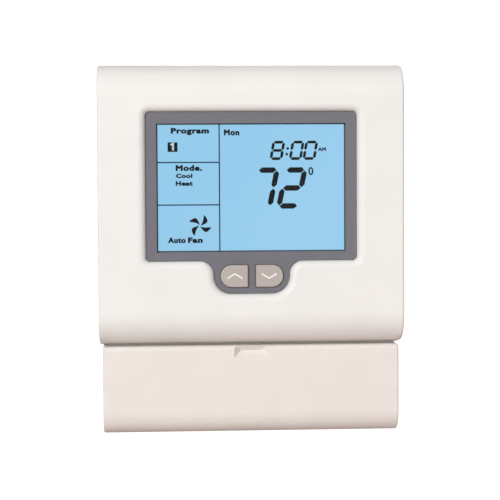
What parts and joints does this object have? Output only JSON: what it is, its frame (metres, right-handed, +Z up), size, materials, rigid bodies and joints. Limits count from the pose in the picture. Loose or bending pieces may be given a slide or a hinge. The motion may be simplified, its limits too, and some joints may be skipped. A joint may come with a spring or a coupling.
{
  "type": "wall thermostat",
  "caption": "Wall thermostat with a backlit display, arrow keys, a flip-down door over function keys, and a head that plugs onto a screwed wall plate.",
  "frame": {"origin": "centre of the wall plate's screw pattern, on the wall plate's back face, which is the wall surface", "axes": "+Z up along the wall, +Y into the wall, so the viewer stands on the -Y side, and +X to the viewer's right"},
  "size_m": [0.121, 0.028, 0.147],
  "materials": {
    "cover_plastic": "fine satin texture, warm off-white",
    "case_plastic": "fine satin texture, warm off-white",
    "door_plastic": "fine satin texture, warm off-white",
    "plate_plastic": "fine matt texture",
    "bezel_plastic": "satin, blue-grey",
    "arrow_key_plastic": "satin, warm taupe",
    "panel_key_plastic": "satin grey",
    "window_clear": "clear, polished",
    "lcd_glass": "backlit pale blue",
    "light_guide_clear": "frosted",
    "led_package": "white package",
    "holder_plastic": "white",
    "contact_elastomer": "soft, striped",
    "circuit_board": "solder mask green",
    "component_black": "moulded black",
    "connector_plastic": "moulded black",
    "crystal_can": "tinned",
    "capacitor_sleeve": "shrink sleeve",
    "inductor_ferrite": "dark ferrite",
    "relay_case": "pale grey",
    "cell_steel": "bright",
    "terminal_plastic": "moulded green",
    "terminal_metal": "plated",
    "pin_metal": "plated",
    "sensor_bead": "dipped",
    "screw_steel": "zinc plated",
    "switch_body": "moulded",
    "switch_plunger": "moulded",
    "label_film": "printed film"
  },
  "bodies": {
    "wall_base": {"wall_plate": "plate_plastic", "terminal_block": "terminal_plastic", "terminal_screws": "screw_steel", "terminal_clamps": "terminal_metal"},
    "head": {"case_screws": "screw_steel", "power_board_screws": "screw_steel", "display_board_screws": "screw_steel", "rear_case": "case_plastic", "front_cover": "cover_plastic", "display_bezel": "bezel_plastic", "display_window": "window_clear", "lcd_front_glass": "lcd_glass", "lcd_rear_glass": "lcd_glass", "light_guide": "light_guide_clear", "left_backlight_led": "led_package", "right_backlight_led": "led_package", "lcd_holder": "holder_plastic", "lcd_contact_strip": "contact_elastomer", "display_board": "circuit_board", "power_board": "circuit_board", "board_header": "connector_plastic", "board_socket": "connector_plastic", "coin_cell_holder": "connector_plastic", "microcontroller": "component_black", "quartz_crystal": "crystal_can", "heat_relay": "relay_case", "cool_relay": "relay_case", "fan_relay": "relay_case", "left_capacitor": "capacitor_sleeve", "right_capacitor": "capacitor_sleeve", "inductor": "inductor_ferrite", "coin_cell": "cell_steel", "terminal_pins": "pin_metal", "temperature_sensor": "sensor_bead", "program_switch": "switch_body", "mode_switch": "switch_body", "fan_switch": "switch_body", "clock_switch": "switch_body", "hold_switch": "switch_body", "up_switch": "switch_body", "down_switch": "switch_body"},
    "flip_door": {"door": "door_plastic", "door_label": "label_film"},
    "up_key": {"up_button": "arrow_key_plastic", "up_plunger": "switch_plunger"},
    "down_key": {"down_button": "arrow_key_plastic", "down_plunger": "switch_plunger"},
    "program_key": {"program_button": "panel_key_plastic", "program_plunger": "switch_plunger"},
    "mode_key": {"mode_button": "panel_key_plastic", "mode_plunger": "switch_plunger"},
    "fan_key": {"fan_button": "panel_key_plastic", "fan_plunger": "switch_plunger"},
    "clock_key": {"clock_button": "panel_key_plastic", "clock_plunger": "switch_plunger"},
    "hold_key": {"hold_button": "panel_key_plastic", "hold_plunger": "switch_plunger"}
  },
  "joints": [
    {"name": "head_pull_off", "type": "slide", "parent": "wall_base", "child": "head", "axis": [0, -1, 0], "range_m": [0, 0.055]},
    {"name": "door_hinge", "type": "hinge", "parent": "head", "child": "flip_door", "pos_m": [0, -0.0112, -0.0686], "axis": [1, 0, 0], "range_deg": [0, 110]},
    {"name": "up_press", "type": "slide", "parent": "head", "child": "up_key", "axis": [0, 1, 0], "range_m": [0, 0.0006], "stiffness_N_per_m": 400, "springref_m": -0.001},
    {"name": "down_press", "type": "slide", "parent": "head", "child": "down_key", "axis": [0, 1, 0], "range_m": [0, 0.0006], "stiffness_N_per_m": 400, "springref_m": -0.001},
    {"name": "program_press", "type": "slide", "parent": "head", "child": "program_key", "axis": [0, 1, 0], "range_m": [0, 0.0005], "stiffness_N_per_m": 400, "springref_m": -0.001},
    {"name": "mode_press", "type": "slide", "parent": "head", "child": "mode_key", "axis": [0, 1, 0], "range_m": [0, 0.0005], "stiffness_N_per_m": 400, "springref_m": -0.001},
    {"name": "fan_press", "type": "slide", "parent": "head", "child": "fan_key", "axis": [0, 1, 0], "range_m": [0, 0.0005], "stiffness_N_per_m": 400, "springref_m": -0.001},
    {"name": "clock_press", "type": "slide", "parent": "head", "child": "clock_key", "axis": [0, 1, 0], "range_m": [0, 0.0005], "stiffness_N_per_m": 400, "springref_m": -0.001},
    {"name": "hold_press", "type": "slide", "parent": "head", "child": "hold_key", "axis": [0, 1, 0], "range_m": [0, 0.0005], "stiffness_N_per_m": 400, "springref_m": -0.001}
  ]
}
